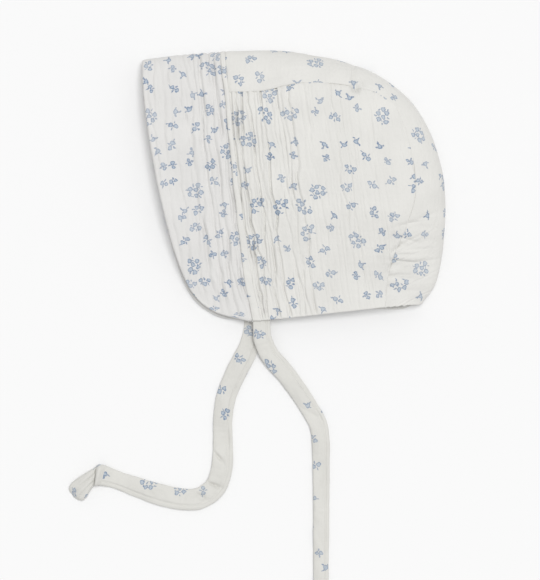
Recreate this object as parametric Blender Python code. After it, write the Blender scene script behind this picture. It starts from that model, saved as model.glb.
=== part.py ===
"""Baby bonnet in crinkled cotton gauze, laid flat on its side.

X runs from the face opening to the back of the head, Y from the neck to the top
of the head, and Z up from the surface that the bonnet lies on. The far side panel
lies on that surface, the near one is domed above it, and a crown band wraps
round the folded edge between them. The hollow for the head opens at the face and
at the neck. Two flat cloth ties leave the lower front corner.
"""
import math

import bmesh
import bpy
import numpy as np

# Driving sizes in metres
BODY_LENGTH = 0.1818     # face edge to the back of the head
BODY_HEIGHT = 0.1620     # tie ends to the top of the head
CROWN_RISE = 0.0270      # height of the near panel over the back of the head
FACE_RISE = 0.0165       # height of the near layer at the face edge
NECK_RISE = 0.0125       # height of the near layer at the nape
TIE_RISE = 0.0078        # height of the near layer where the ties leave
FOLD_HEIGHT = 0.0055     # height of the outermost line of the folded edge
OVER_ROLL = 0.0340       # how far in the near layer goes on rising from the fold
UNDER_ROLL = 0.0100      # how far in the far layer curls down to the surface
PANEL_WALL = 0.0015      # two layers of gauze with their crinkle
BRIM_WALL = 0.0024       # the same cloth folded double
WELT_WIDTH = 0.0032      # the narrow raised strip between brim and body, at the top
WELT_FOOT = 0.0050       # its width where the ties leave
WELT_WALL = 0.0024
WELT_STAND = 0.0006      # how far the welt stands proud of its neighbours
SEAM_GAP = 0.0005        # clearance between sewn pieces
RIB_PITCH = 0.0056       # two crinkles of the gauze
RIB_HEIGHT = 0.0004
FAR_PEEK = 0.0018        # how far the far brim shows past the near one
TIE_WIDTH = 0.0128
TIE_WALL = 0.0024

# Shares of BODY_HEIGHT and of BODY_LENGTH over which the near layer rises
FRONT_RISE_TO = 0.45
BACK_RISE_TO = 0.55
TOP_RISE_FROM = 0.15
TOP_RISE_TO = 0.68
WELT_SPREADS_TO = 0.65   # share of BODY_HEIGHT below which the welt widens
WELT_ROUND = 1.7         # 2 gives the welt a full half round, less a flatter one
# Shares of the brim's length: where the far brim starts to show, shows in full and stops
PEEK_FROM = 0.3
PEEK_FULL = 0.8
PEEK_END = 0.9
TOP_BOW_TO = 0.3         # how far down the brim follows the bow of its top edge
CREASE_FADE = 0.25       # over which each of its creases runs out
# The ridges of the side panels lean forward by this much for each unit of height
RIDGE_LEAN = 0.135
RIDGE_LEAN_FROM = 0.35   # share of a panel's width over which they take on that lean
# Shares of a panel's width between which the ridges fade to FAINT_RIBS, and
# shares of a ridge at its neck end and its top end over which it fades out
RIBS_FADE_FROM = 0.35
RIBS_FADE_TO = 0.8
FAINT_RIBS = 0.35
NECK_FADE = 0.12
TOP_FADE = 0.1
# Powers that make the ties' section a flat oval: 1 is an ellipse, 0 a rectangle
SIDE_POWER = 0.6
UP_POWER = 0.8

# Plan places below are shares of BODY_LENGTH from the face edge and shares of
# BODY_HEIGHT above the tie ends.
# Brim, one row for each section from the top fold to the ties.
# Columns: edge_along, edge_up, seam_along, seam_up
BRIM_SECTIONS = (
    (0.002, 0.964, 0.268, 0.995),
    (0.013, 0.791, 0.283, 0.819),
    (0.036, 0.615, 0.300, 0.633),
    (0.069, 0.430, 0.319, 0.441),
    (0.113, 0.244, 0.341, 0.248),
    (0.166, 0.107, 0.357, 0.122),
    (0.239, 0.035, 0.371, 0.052),
    (0.344, 0.001, 0.381, 0.001),
)
# Crown band, one row for each section from the brim to the nape.
# Columns: fold_along, fold_up, seam_along, seam_up
BAND_SECTIONS = (
    (0.280, 0.996, 0.286, 0.841),
    (0.397, 1.000, 0.397, 0.844),
    (0.489, 0.996, 0.489, 0.865),
    (0.575, 0.981, 0.569, 0.874),
    (0.671, 0.957, 0.648, 0.869),
    (0.760, 0.919, 0.727, 0.854),
    (0.846, 0.854, 0.793, 0.824),
    (0.909, 0.780, 0.841, 0.767),
    (0.956, 0.685, 0.872, 0.674),
    (0.988, 0.567, 0.895, 0.559),
    (1.000, 0.456, 0.897, 0.456),
    (0.998, 0.344, 0.869, 0.348),
    (0.989, 0.233, 0.826, 0.237),
    (0.973, 0.137, 0.806, 0.144),
    (0.935, 0.059, 0.798, 0.050),
)
# Top edge of the brim and lower edge of the side panel. Columns: along, up
BRIM_TOP = ((0.002, 0.964), (0.093, 0.979), (0.179, 0.988), (0.268, 0.995))
NECK_EDGE = ((0.381, 0.001), (0.489, 0.012), (0.661, 0.033), (0.798, 0.050))

# Deep creases of the brim beside its seam.
# Columns: across (0 at the face edge, 1 at the seam), half_width (share of the
# brim's width), depth (share of BRIM_WALL), length (share of the brim's length)
BRIM_CREASES = (
    (0.36, 0.05, 0.12, 0.75),
    (0.50, 0.05, 0.20, 0.80),
    (0.645, 0.04, 0.42, 0.62),
    (0.72, 0.04, 0.42, 0.80),
    (0.81, 0.04, 0.35, 0.90),
    (0.90, 0.04, 0.45, 0.95),
)
# Gathers across the band at the nape.
# Columns: place (share of the band's length), half_width (same), depth (share of PANEL_WALL)
NAPE_GATHERS = (
    (0.790, 0.010, 0.35),
    (0.822, 0.010, 0.60),
    (0.852, 0.009, 0.50),
    (0.883, 0.010, 0.70),
    (0.915, 0.010, 0.45),
    (0.950, 0.010, 0.35),
)
# Dents. Columns: along, up, radius (share of BODY_LENGTH), depth (share of PANEL_WALL)
DENTS = (
    (0.704, 0.868, 0.028, 0.90),
    (0.830, 0.290, 0.030, 0.60),
    (0.870, 0.180, 0.034, 0.70),
)

# The ties' routes in metres from the foot of the brim seam, points chosen by hand.
# Columns: x, y, height of the middle above the surface
NEAR_TIE_ROUTE = (
    (0.0019, -0.0005, 0.0060), (0.0019, -0.0058, 0.0057), (0.0026, -0.0116, 0.0051),
    (0.0074, -0.0209, 0.0036), (0.0168, -0.0314, 0.0018), (0.0252, -0.0428, 0.0013),
    (0.0317, -0.0530, 0.0013), (0.0366, -0.0620, 0.0013), (0.0382, -0.0728, 0.0013),
    (0.0384, -0.0854, 0.0013), (0.0385, -0.1022, 0.0013), (0.0385, -0.1196, 0.0013),
    (0.0384, -0.1370, 0.0013), (0.0384, -0.1542, 0.0013), (0.0386, -0.1652, 0.0016),
)
FAR_TIE_ROUTE = (
    (-0.0024, -0.0006, 0.0013), (-0.0026, -0.0042, 0.0013), (-0.0042, -0.0132, 0.0013),
    (-0.0073, -0.0209, 0.0013), (-0.0127, -0.0314, 0.0013), (-0.0184, -0.0452, 0.0013),
    (-0.0205, -0.0590, 0.0014), (-0.0205, -0.0704, 0.0015), (-0.0205, -0.0818, 0.0015),
    (-0.0216, -0.0908, 0.0014), (-0.0254, -0.1001, 0.0014), (-0.0347, -0.1065, 0.0014),
    (-0.0463, -0.1068, 0.0013), (-0.0601, -0.1037, 0.0013), (-0.0739, -0.0990, 0.0013),
    (-0.0865, -0.0945, 0.0016), (-0.0924, -0.0927, 0.0020),
)
# Width along each tie. Columns: share of its length, share of TIE_WIDTH
NEAR_TIE_WIDTHS = (
    (0.0, 0.86), (0.10, 0.92), (0.20, 0.90), (0.32, 0.88), (0.42, 0.86), (0.55, 0.78), (0.92, 0.72), (1.0, 0.72),
)
FAR_TIE_WIDTHS = (
    (0.0, 0.80), (0.15, 0.98), (0.40, 0.90), (0.60, 1.00), (0.75, 1.02), (0.90, 0.92), (1.0, 0.76),
)
# Knot and tail on a tie's end, sections along its way on from the tie. Columns:
# reach (share of KNOT_LENGTH), sideways (same), turn of the section in degrees,
# width (share of TIE_WIDTH), wall (share of KNOT_HEIGHT)
KNOT_LENGTH = 0.0250
KNOT_HEIGHT = 0.0078
KNOT_SECTIONS = (
    (0.000, 0.000, 0.0, 0.70, 0.42),
    (0.055, 0.006, 0.0, 0.80, 0.74),
    (0.110, 0.020, 3.0, 0.94, 0.94),
    (0.160, 0.036, 6.0, 1.00, 0.78),
    (0.195, 0.080, 11.0, 0.90, 0.56),
    (0.240, 0.150, 18.0, 0.86, 0.62),
    (0.310, 0.265, 27.0, 0.88, 0.70),
    (0.390, 0.400, 38.0, 0.92, 0.66),
    (0.470, 0.530, 49.0, 0.96, 0.54),
    (0.530, 0.625, 58.0, 0.94, 0.42),
    (0.560, 0.670, 60.0, 0.74, 0.30),
)

# Grid steps
BRIM_ACROSS = (0.0, 0.16, 0.31, 0.36, 0.43, 0.50, 0.58, 0.645, 0.683, 0.72, 0.765, 0.81, 0.855, 0.90, 0.95, 1.0)
BRIM_STEPS = 17          # from the fold down one side
WELT_ACROSS_STEPS = 4
BAND_ACROSS_STEPS = 5    # from the fold in to one seam
BAND_POWER = 1.7         # bunches those steps towards the fold
BAND_FRONT_STEPS = 20    # along the band from the brim to the gathers
BAND_NAPE_STEPS = 18     # along the band through the gathers
GATHERS_FROM = 0.76      # where the gathers start, a share of the band's length
PANEL_ROWS = 13
FAR_PANEL_COLUMNS = 18
PANEL_ENDS = (0.945, 0.968, 0.986, 0.997)    # last columns, shares of the panel's width
TIE_STEPS = 52
KNOT_STEPS = 20
SECTION_SIDES = 10
CURVE_POINTS = 600       # points that stand for each smooth curve


def smooth_rows(table, shares):
    """Values of a table's columns on a smooth curve through its rows."""
    rows = np.array(table, dtype=float)
    rows = np.vstack((2 * rows[0] - rows[1], rows, 2 * rows[-1] - rows[-2]))
    place = np.clip(np.atleast_1d(shares), 0.0, 1.0) * (len(table) - 1)
    index = np.minimum(place.astype(int), len(table) - 2)
    t = (place - index)[:, None]
    before, start, end, after = (rows[index + step] for step in range(4))
    return 0.5 * (
        2 * start + (end - before) * t + (2 * before - 5 * start + 4 * end - after) * t ** 2
        + (3 * start - before - 3 * end + after) * t ** 3
    )


def straight_rows(table, shares):
    """Second column of a two column table, read between its rows."""
    columns = np.array(table).T
    return np.interp(shares, columns[0], columns[1])


def ease(value, low, high):
    """Smooth step from 0 at low to 1 at high."""
    t = np.clip((value - low) / (high - low), 0.0, 1.0)
    return t * t * (3 - 2 * t)


def mix(start, end, share):
    return start + (end - start) * share


def plan_place(shares):
    """Metres in plan from along and up shares, about the middle of the body."""
    return (np.asarray(shares) - 0.5) * (BODY_LENGTH, BODY_HEIGHT)


def bump(distance, half_width):
    """Round bump of height 1 that fades out at about twice the half width."""
    return np.exp(-((distance / half_width) ** 2))


# Smooth plan curves that the pieces share
CURVE_SHARES = np.linspace(0, 1, CURVE_POINTS)
BRIM_CURVES = smooth_rows(BRIM_SECTIONS, CURVE_SHARES)
BAND_CURVES = smooth_rows(BAND_SECTIONS, CURVE_SHARES)
BRIM_SEAM = plan_place(BRIM_CURVES[:, 2:])
BAND_SEAM = plan_place(BAND_CURVES[:, 2:])
FOLD = np.vstack((plan_place(smooth_rows(BRIM_TOP, CURVE_SHARES)), plan_place(BAND_CURVES[:, :2])))
NECK = plan_place(smooth_rows(NECK_EDGE, CURVE_SHARES))
TIE_EXIT = BRIM_SEAM[-1]


def half_welt(y):
    """Half the welt's width at a height up it."""
    up = y / BODY_HEIGHT + 0.5
    return mix(WELT_FOOT, WELT_WIDTH, ease(up, 0.0, WELT_SPREADS_TO)) / 2


def seam_x(y):
    """Place of the brim seam along the bonnet at a height up it."""
    return np.interp(y, BRIM_SEAM[::-1, 1], BRIM_SEAM[::-1, 0])


def fold_distance(plan):
    """Distance in plan from each point to the folded edge."""
    start = FOLD[:-1]
    step = FOLD[1:] - start
    size = np.maximum((step ** 2).sum(axis=1), 1e-18)
    nearest = []
    for point in plan:
        share = np.clip(((point - start) * step).sum(axis=1) / size, 0, 1)
        gap = start + step * share[:, None] - point
        nearest.append(math.sqrt((gap ** 2).sum(axis=1).min()))
    return np.array(nearest)


def quarter_round(share):
    """Rise of a round edge, 0 at its rim and 1 where it is flat."""
    return np.sqrt(1 - (1 - np.clip(share, 0, 1)) ** 2)


def skin(plan, near):
    """Points of the bonnet's outer skin above or below places in plan."""
    shape = plan.shape[:-1]
    flat = plan.reshape(-1, 2)
    distance = fold_distance(flat)
    if near:
        along = flat[:, 0] / BODY_LENGTH + 0.5
        up = flat[:, 1] / BODY_HEIGHT + 0.5
        front = mix(TIE_RISE, FACE_RISE, ease(up, 0.0, FRONT_RISE_TO))
        back = mix(NECK_RISE, CROWN_RISE, ease(up, 0.0, BACK_RISE_TO))
        top = mix(front, back, ease(along, TOP_RISE_FROM, TOP_RISE_TO))
        height = FOLD_HEIGHT + (top - FOLD_HEIGHT) * quarter_round(distance / OVER_ROLL)
        for dent_along, dent_up, radius, depth in DENTS:
            offset = flat - plan_place((dent_along, dent_up))
            reach = np.hypot(offset[:, 0], offset[:, 1])
            height -= depth * PANEL_WALL * bump(reach, radius * BODY_LENGTH)
    else:
        height = FOLD_HEIGHT * (1 - quarter_round(distance / UNDER_ROLL))
    return np.column_stack((flat, height)).reshape(*shape, 3)


def grid_normals(points):
    """Unit normals of a grid of points, out of its outer face."""
    down = np.gradient(points, axis=0)
    across = np.gradient(points, axis=1)
    normals = np.cross(across, down)
    return normals / np.linalg.norm(normals, axis=2)[..., None]


def relief(points, height):
    """The grid with each point moved out along its normal."""
    return points + grid_normals(points) * height[..., None]


def above_surface(points):
    """0 where the skin lies on the surface, and 1 from the height of the fold up."""
    return ease(points[..., 2], 0.0, FOLD_HEIGHT)


def brim_plan(across, down, near):
    """Plan places on the brim, across from the face edge and down from the fold."""
    rows = smooth_rows(BRIM_SECTIONS, down)
    edge = plan_place(rows[:, :2])
    seam = plan_place(rows[:, 2:])
    seam[:, 0] -= half_welt(seam[:, 1]) + SEAM_GAP
    if not near:
        turn = np.gradient(edge, axis=0)
        turn /= np.linalg.norm(turn, axis=1)[:, None]
        peek = FAR_PEEK * ease(down, PEEK_FROM, PEEK_FULL) * (1 - ease(down, PEEK_END, 1.0))
        edge = edge + np.column_stack((turn[:, 1], -turn[:, 0])) * peek[:, None]
    plan = edge[:, None] + (seam - edge)[:, None] * across[None, :, None]
    bow = np.interp(plan[0, :, 0], FOLD[:, 0], FOLD[:, 1]) - plan[0, :, 1]
    plan[..., 1] += bow * (1 - ease(down, 0.0, TOP_BOW_TO))[:, None]
    return plan


def brim_grid(across, steps):
    """The brim's outer skin, from the near ties up over the fold to the far ties."""
    down = np.sin(np.linspace(0, math.pi / 2, steps + 1)) ** 2
    near = skin(brim_plan(across, down, True), True)
    far = skin(brim_plan(across, down, False), False)
    points = np.vstack((near[::-1], far[1:]))
    place = np.concatenate((down[::-1], down[1:]))[:, None]
    depth = np.zeros(points.shape[:2])
    for middle, half_width, share, length in BRIM_CREASES:
        fade = 1 - ease(place, length - CREASE_FADE, length)
        depth += share * BRIM_WALL * bump(across - middle, half_width) * fade
    return relief(points, -depth * above_surface(points))


def welt_grid(steps):
    """The welt's outer skin along the brim seam, round over its width."""
    down = np.sin(np.linspace(0, math.pi / 2, steps + 1)) ** 2
    seam = plan_place(smooth_rows(BRIM_SECTIONS, down)[:, 2:])
    across = np.linspace(-1, 1, WELT_ACROSS_STEPS + 1)
    plan = np.repeat(seam[:, None], len(across), axis=1)
    plan[..., 0] += across * half_welt(seam[:, 1])[:, None]
    plan[0, :, 1] = np.interp(plan[0, :, 0], FOLD[:, 0], FOLD[:, 1])
    points = np.vstack((skin(plan, True)[::-1], skin(plan, False)[1:]))
    crown = np.sqrt(1 - (across * WELT_ROUND / 2) ** 2)
    stand = np.broadcast_to(crown * WELT_STAND, points.shape[:2])
    return relief(points, stand * above_surface(points))


def band_grid(places, across_steps):
    """The crown band's outer skin, from the far seam over the fold to the near seam."""
    rows = smooth_rows(BAND_SECTIONS, places)
    fold = plan_place(rows[:, :2])
    seam = plan_place(rows[:, 2:])
    inward = seam - fold
    width = np.linalg.norm(inward, axis=1)[:, None]
    seam = seam - inward / width * SEAM_GAP / 2
    share = np.linspace(0, 1, across_steps + 1) ** BAND_POWER
    plan = fold[:, None] + (seam - fold)[:, None] * share[None, :, None]
    plan[0, :, 0] = seam_x(plan[0, :, 1]) + half_welt(plan[0, :, 1]) + SEAM_GAP
    plan[0, 0, 1] = np.interp(plan[0, 0, 0], FOLD[:, 0], FOLD[:, 1])
    near = skin(plan, True)
    far = skin(plan, False)
    points = np.hstack((far[:, ::-1], near[:, 1:]))
    depth = np.zeros(points.shape[:2])
    towards_seam = np.concatenate((np.zeros(across_steps), share))
    for place, half_width, gather in NAPE_GATHERS:
        depth += gather * PANEL_WALL * bump(places - place, half_width)[:, None] * towards_seam
    return relief(points, -depth)


def inset(curve, distance):
    """A plan curve moved to its right hand side."""
    turn = np.gradient(curve, axis=0)
    turn /= np.linalg.norm(turn, axis=1)[:, None]
    return curve + np.column_stack((turn[:, 1], -turn[:, 0])) * distance


def crossing(curve, offsets):
    """First place where a curve's signed offsets turn from below 0 to above it."""
    above = np.flatnonzero(offsets >= 0)
    if not len(above) or above[0] == 0:
        return curve[-1 if not len(above) else 0]
    last = above[0]
    share = offsets[last - 1] / (offsets[last - 1] - offsets[last])
    return mix(curve[last - 1], curve[last], share)


def panel_reach():
    """The band seam beside a panel, and how far along the ridges each point of it lies."""
    seam = inset(BAND_SEAM, SEAM_GAP / 2)
    middle = seam[:, 1].mean()
    start = seam_x(middle) + half_welt(middle) + SEAM_GAP
    reach = seam[:, 0] + RIDGE_LEAN * (seam[:, 1] - middle) - start
    return seam, middle, reach


def panel_width():
    """Widest run of a side panel, square to its ridges."""
    return panel_reach()[2].max()


def panel_plan(columns, rows):
    """Plan places on a side panel, along its ridges from the neck to the crown band."""
    seam, middle, reach = panel_reach()
    widest = reach.argmax()
    top = seam[:widest + 1]
    bottom = np.vstack((NECK[NECK[:, 0] < seam[-1, 0]], seam[:widest - 1:-1]))

    def ridge(y, column):
        leaning = seam_x(middle) + half_welt(middle) - RIDGE_LEAN * (y - middle)
        line = mix(seam_x(y) + half_welt(y), leaning, ease(column, 0.0, RIDGE_LEAN_FROM))
        return line + SEAM_GAP + column * reach[widest]

    plan = []
    for column in columns:
        high = crossing(top, top[:, 0] - ridge(top[:, 1], column))
        low = crossing(bottom, bottom[:, 0] - ridge(bottom[:, 1], column))
        y = mix(low[1], high[1], rows)
        plan.append(np.column_stack((ridge(y, column), y)))
    return np.array(plan).transpose(1, 0, 2)


def near_panel_grid():
    """The near side panel's outer skin, with a column on each rib and each furrow."""
    rows = np.linspace(0, 1, PANEL_ROWS + 1)
    half_pitch = RIB_PITCH / 2 / panel_width()
    ribbed = np.arange(0, PANEL_ENDS[0], half_pitch)
    columns = np.append(ribbed, PANEL_ENDS)
    points = skin(panel_plan(columns, rows), True)
    fade = mix(1.0, FAINT_RIBS, ease(ribbed, RIBS_FADE_FROM, RIBS_FADE_TO))
    ribs = np.zeros(len(columns))
    ribs[:len(ribbed)] = np.where(np.arange(len(ribbed)) % 2, 1.0, -1.0) * RIB_HEIGHT * fade
    edge = ease(rows, 0.0, NECK_FADE) * (1 - ease(rows, 1 - TOP_FADE, 1.0))
    return relief(points, ribs * edge[:, None])


def far_panel_grid():
    """The far side panel's outer skin, flat on the surface."""
    columns = np.sin(np.linspace(0, math.pi / 2, FAR_PANEL_COLUMNS + 1)) * PANEL_ENDS[-1]
    rows = np.linspace(0, 1, PANEL_ROWS + 1)
    return skin(panel_plan(columns, rows), False)[:, ::-1]


def cloth(name, colour):
    """Soft matt cotton."""
    material = bpy.data.materials.new(name)
    material.use_nodes = True
    shader = material.node_tree.nodes["Principled BSDF"]
    shader.inputs["Base Color"].default_value = (*colour, 1)
    shader.inputs["Roughness"].default_value = 0.9
    shader.inputs["Metallic"].default_value = 0.0
    return material


def grid_mesh(points):
    """A bmesh grid whose vertices are moved to the given rows and columns of points."""
    rows, columns = points.shape[:2]
    mesh = bmesh.new()
    bmesh.ops.create_grid(mesh, x_segments=columns - 1, y_segments=rows - 1, size=1.0)
    for vertex in mesh.verts:
        column = round((vertex.co.x + 1) / 2 * (columns - 1))
        row = round((vertex.co.y + 1) / 2 * (rows - 1))
        vertex.co = points[row, column]
    return mesh


def add_object(name, mesh, material):
    data = bpy.data.meshes.new(name)
    mesh.to_mesh(data)
    mesh.free()
    data.materials.append(material)
    data.shade_smooth()
    thing = bpy.data.objects.new(name, data)
    bpy.context.collection.objects.link(thing)
    return thing


def add_sheet(name, points, wall, material):
    """A piece of cloth with its wall inside its outer skin."""
    thing = add_object(name, grid_mesh(points), material)
    shell = thing.modifiers.new("wall", "SOLIDIFY")
    shell.thickness = wall
    shell.offset = -1.0
    return thing


def section_ring(width, wall):
    """A flat oval section, sideways and up from its middle."""
    angle = np.linspace(0, 2 * math.pi, SECTION_SIDES + 1)
    sideways = np.sign(np.cos(angle)) * np.abs(np.cos(angle)) ** SIDE_POWER
    up = np.sign(np.sin(angle)) * np.abs(np.sin(angle)) ** UP_POWER
    return sideways * width / 2, up * wall / 2


def add_strap(name, middles, sides, widths, walls, material):
    """A flat tube of cloth along a way. Its level sections lie along sides."""
    rings = []
    for middle, side, width, wall in zip(middles, sides, widths, walls):
        sideways, up = section_ring(width, wall)
        rings.append(middle + sideways[:, None] * side + up[:, None] * (0, 0, 1))
    mesh = grid_mesh(np.array(rings)[:, ::-1])
    bmesh.ops.remove_doubles(mesh, verts=mesh.verts, dist=1e-6)
    rims = [edge for edge in mesh.edges if edge.is_boundary]
    bmesh.ops.holes_fill(mesh, edges=rims, sides=0)
    return add_object(name, mesh, material)


def from_exit(route):
    """A tie's route moved to the foot of the brim seam."""
    return np.array(route) + (*TIE_EXIT, 0)


def add_tie(name, route, width_table, material):
    middles = smooth_rows(from_exit(route), np.linspace(0, 1, TIE_STEPS + 1))
    sides = np.cross(np.gradient(middles, axis=0), (0, 0, 1))
    sides /= np.linalg.norm(sides, axis=1)[:, None]
    lengths = np.concatenate(((0,), np.linalg.norm(np.diff(middles, axis=0), axis=1).cumsum()))
    widths = straight_rows(width_table, lengths / lengths[-1]) * TIE_WIDTH
    return add_strap(name, middles, sides, widths, np.full(len(middles), TIE_WALL), material)


def add_knot(name, route, side, material):
    """The knot and its short tail, going on from the end of a tie's route."""
    before, end = from_exit(route)[-2:]
    onward = (end - before) * (1, 1, 0)
    onward /= np.linalg.norm(onward)
    sideways = np.cross(onward, (0, 0, 1)) * side
    rows = smooth_rows(KNOT_SECTIONS, np.linspace(0, 1, KNOT_STEPS + 1))
    walls = rows[:, 4] * KNOT_HEIGHT
    reach = rows[:, 0] * KNOT_LENGTH + SEAM_GAP
    middles = end * (1, 1, 0) + reach[:, None] * onward + rows[:, 1:2] * KNOT_LENGTH * sideways
    middles[:, 2] = walls / 2
    turn = np.radians(rows[:, 2:3])
    sides = (np.cos(turn) * sideways - np.sin(turn) * onward) * side
    return add_strap(name, middles, sides, rows[:, 3] * TIE_WIDTH, walls, material)


def build():
    for thing in list(bpy.data.objects):
        bpy.data.objects.remove(thing, do_unlink=True)
    brim_cloth = cloth("brim gauze", (0.78, 0.78, 0.76))
    body_cloth = cloth("body gauze", (0.76, 0.755, 0.73))
    tie_cloth = cloth("tie gauze", (0.75, 0.74, 0.71))

    front = np.linspace(0, GATHERS_FROM, BAND_FRONT_STEPS + 1)[:-1]
    places = np.concatenate((front, np.linspace(GATHERS_FROM, 1, BAND_NAPE_STEPS + 1)))

    add_sheet("brim", brim_grid(np.array(BRIM_ACROSS), BRIM_STEPS), BRIM_WALL, brim_cloth)
    add_sheet("brim_welt", welt_grid(BRIM_STEPS), WELT_WALL, brim_cloth)
    add_sheet("crown_band", band_grid(places, BAND_ACROSS_STEPS), PANEL_WALL, body_cloth)
    add_sheet("side_panel_near", near_panel_grid(), PANEL_WALL, body_cloth)
    add_sheet("side_panel_far", far_panel_grid(), PANEL_WALL, body_cloth)
    add_tie("tie_near", NEAR_TIE_ROUTE, NEAR_TIE_WIDTHS, tie_cloth)
    add_tie("tie_far", FAR_TIE_ROUTE, FAR_TIE_WIDTHS, tie_cloth)
    add_knot("tie_near_knot", NEAR_TIE_ROUTE, 1, tie_cloth)
    add_knot("tie_far_knot", FAR_TIE_ROUTE, -1, tie_cloth)


build()
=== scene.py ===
"""Baby bonnet in crinkled double cotton gauze with a blue sprig print, laid on its side."""
import math

import bmesh
import bpy
import numpy as np
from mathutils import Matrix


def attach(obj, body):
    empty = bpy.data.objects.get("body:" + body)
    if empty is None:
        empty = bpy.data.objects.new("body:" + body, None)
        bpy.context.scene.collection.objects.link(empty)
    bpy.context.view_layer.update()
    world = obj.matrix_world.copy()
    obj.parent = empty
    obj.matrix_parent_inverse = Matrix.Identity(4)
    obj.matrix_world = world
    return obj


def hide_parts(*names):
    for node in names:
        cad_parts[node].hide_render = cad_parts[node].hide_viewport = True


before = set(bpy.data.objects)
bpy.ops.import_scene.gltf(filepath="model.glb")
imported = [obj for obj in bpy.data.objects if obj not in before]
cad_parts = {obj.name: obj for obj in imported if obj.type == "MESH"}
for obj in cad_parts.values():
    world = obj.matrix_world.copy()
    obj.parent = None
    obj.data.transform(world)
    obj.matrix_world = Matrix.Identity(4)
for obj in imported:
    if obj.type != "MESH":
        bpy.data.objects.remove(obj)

bl_info = {
    "name": "Baby Bonnet",
    "version": (1, 0, 0),
    "blender": (4, 5, 0),
    "location": "3D View > Sidebar > Bonnet",
    "description": "Builds a laid baby bonnet in crinkled cotton gauze",
    "category": "Add Mesh",
}

BODY = "root"

# Sizes in metres, apart from shares and slopes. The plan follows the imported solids
BODY_LENGTH = 0.1818
BODY_HEIGHT = 0.1620
CROWN_RISE = 0.0270     # height of the near side above the surface at the crown, face, neck and ties
FACE_RISE = 0.0165
NECK_RISE = 0.0125
TIE_RISE = 0.0078
FOLD_HEIGHT = 0.0055
OVER_ROLL = 0.0340      # how far in from the fold the near side goes on rising
UNDER_ROLL = 0.0100     # how far in from the fold the far side meets the surface
PANEL_WALL = 0.0015
BRIM_WALL = 0.0024
WELT_WIDTH = 0.0034
WELT_FOOT = 0.0054      # its width where the ties leave
WELT_WALL = 0.0020
WELT_STAND = 0.0005     # how far it stands proud of its neighbours
WELT_SPREADS_TO = 0.65  # share of BODY_HEIGHT below which it widens
PANEL_LAP = 0.0010      # how far a piece reaches under its neighbour at a seam
SEAM_WANDER = 0.0004    # how far the seams stray from their lines
FAR_PEEK = 0.0018       # how far the far brim shows past the near one
TIE_WIDTH = 0.0128
TIE_WALL = 0.0033
RIDGE_LEAN = 0.135      # slope of the panels' ridges
RIDGE_LEAN_FROM = 0.35  # share of a panel's width from which they lean in full
NAPE_PEEK = 0.0018      # how far the far layer shows below the near one at the nape
KNOT_LAP = 0.0003       # how far a knot reaches over the end of its tie
KNOT_CREASE = 0.182     # share of KNOT_LENGTH at which the knot ends and its tail begins
TIE_HIDDEN = 0.9        # how far back in the seam a tie starts, a share of its route's first step
SEAM_DIP_REACH = 0.0007
LAP_DIP = 0.0009        # how far the edge under a seam is pressed down
NAPE_MIDDLE = 0.064     # place and half width along the bonnet of what shows at the nape
NAPE_HALF_WIDTH = 0.012

# Reach of each grid, by which the lines close to its edges are spaced
BRIM_REACH = 0.048
BAND_REACH = 0.23
PANEL_REACH = 0.108
PANEL_HEIGHT = 0.13
PANEL_LAST = 0.998      # share of a panel's width at its last column
BRIM_CREASED = 0.047    # how far from its seam the brim is creased

# Where each piece was cut from the printed cloth
BRIM_CUT = (0.06, 0.2)
NEAR_PANEL_CUT = (0.066, 0.2)
FAR_PANEL_CUT = (0.066, 0.5)
TIE_CUTS = {"near": 0.0, "far": 0.36}
KNOT_CUTS = {"near": 0.2, "far": 0.56}

# Plan places are shares of BODY_LENGTH from the face edge and shares of
# BODY_HEIGHT above the tie ends.
# Brim sections from the top fold to the ties: edge_along, edge_up, seam_along, seam_up
BRIM_SECTIONS = (
    (0.002, 0.964, 0.268, 0.995),
    (0.013, 0.791, 0.283, 0.819),
    (0.036, 0.615, 0.300, 0.633),
    (0.069, 0.430, 0.319, 0.441),
    (0.113, 0.244, 0.341, 0.248),
    (0.166, 0.107, 0.357, 0.122),
    (0.239, 0.035, 0.371, 0.052),
    (0.344, 0.001, 0.381, 0.001),
)
# Crown band sections from the brim to the nape: fold_along, fold_up, seam_along, seam_up
BAND_SECTIONS = (
    (0.280, 0.996, 0.286, 0.841),
    (0.397, 1.000, 0.397, 0.844),
    (0.489, 0.996, 0.489, 0.865),
    (0.575, 0.981, 0.569, 0.874),
    (0.671, 0.957, 0.648, 0.869),
    (0.760, 0.919, 0.727, 0.854),
    (0.846, 0.854, 0.793, 0.824),
    (0.909, 0.780, 0.841, 0.767),
    (0.956, 0.685, 0.872, 0.674),
    (0.988, 0.567, 0.895, 0.559),
    (1.000, 0.456, 0.897, 0.456),
    (0.998, 0.344, 0.869, 0.348),
    (0.989, 0.233, 0.826, 0.237),
    (0.968, 0.137, 0.806, 0.144),
    (0.924, 0.061, 0.798, 0.050),
)
# Top edge of the brim and lower edge of the side panel: along, up
BRIM_TOP = ((0.002, 0.964), (0.093, 0.979), (0.179, 0.988), (0.268, 0.995))
NECK_EDGE = ((0.381, 0.001), (0.489, 0.012), (0.661, 0.033), (0.798, 0.050))
# Deep creases of the brim: across, half_width, depth (share of BRIM_WALL), length
BRIM_CREASES = (
    (0.36, 0.030, 0.10, 0.75),
    (0.50, 0.030, 0.16, 0.80),
    (0.645, 0.018, 0.34, 0.62),
    (0.72, 0.018, 0.36, 0.80),
    (0.81, 0.018, 0.30, 0.90),
    (0.90, 0.020, 0.40, 0.95),
)
# Gathers across the band at the nape: place, half_width, depth (share of PANEL_WALL)
NAPE_GATHERS = (
    (0.790, 0.010, 0.35),
    (0.822, 0.010, 0.60),
    (0.852, 0.009, 0.50),
    (0.883, 0.010, 0.70),
    (0.915, 0.010, 0.45),
    (0.950, 0.010, 0.35),
)
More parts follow.
